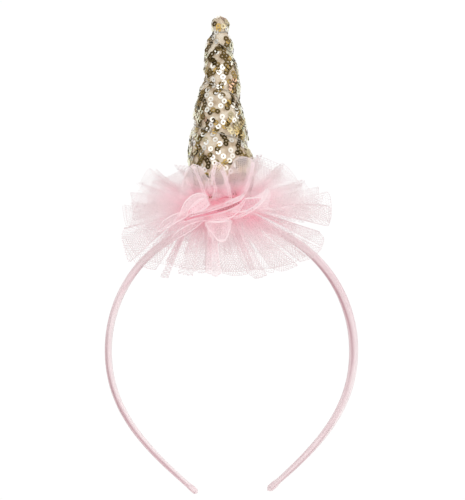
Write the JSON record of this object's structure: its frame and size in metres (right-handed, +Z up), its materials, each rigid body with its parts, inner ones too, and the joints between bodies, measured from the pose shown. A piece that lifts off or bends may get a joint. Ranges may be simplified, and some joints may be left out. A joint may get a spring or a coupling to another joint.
{
  "type": "unicorn horn headband",
  "caption": "Costume headband with a gold sequin horn standing in a ruff of pink tulle on a narrow band wrapped in pale pink satin.",
  "frame": {"origin": "middle of the band's inner face at the crown, where the band sits on the head", "axes": "+Z up along the horn, +X along the width of the band towards the wearer's left, -Y towards the front"},
  "size_m": [0.1294, 0.1014, 0.2464],
  "materials": {
    "satin_ribbon": "satin",
    "sequin_cloth": "glossy gold sequins on beige net",
    "pink_tulle": "see-through net"
  },
  "bodies": {
    "root": {"headband": "satin_ribbon", "horn": "sequin_cloth", "tulle_ruffle_top": "pink_tulle", "tulle_ruffle_upper": "pink_tulle", "tulle_ruffle_lower": "pink_tulle", "tulle_ruffle_bottom": "pink_tulle"}
  },
  "joints": []
}
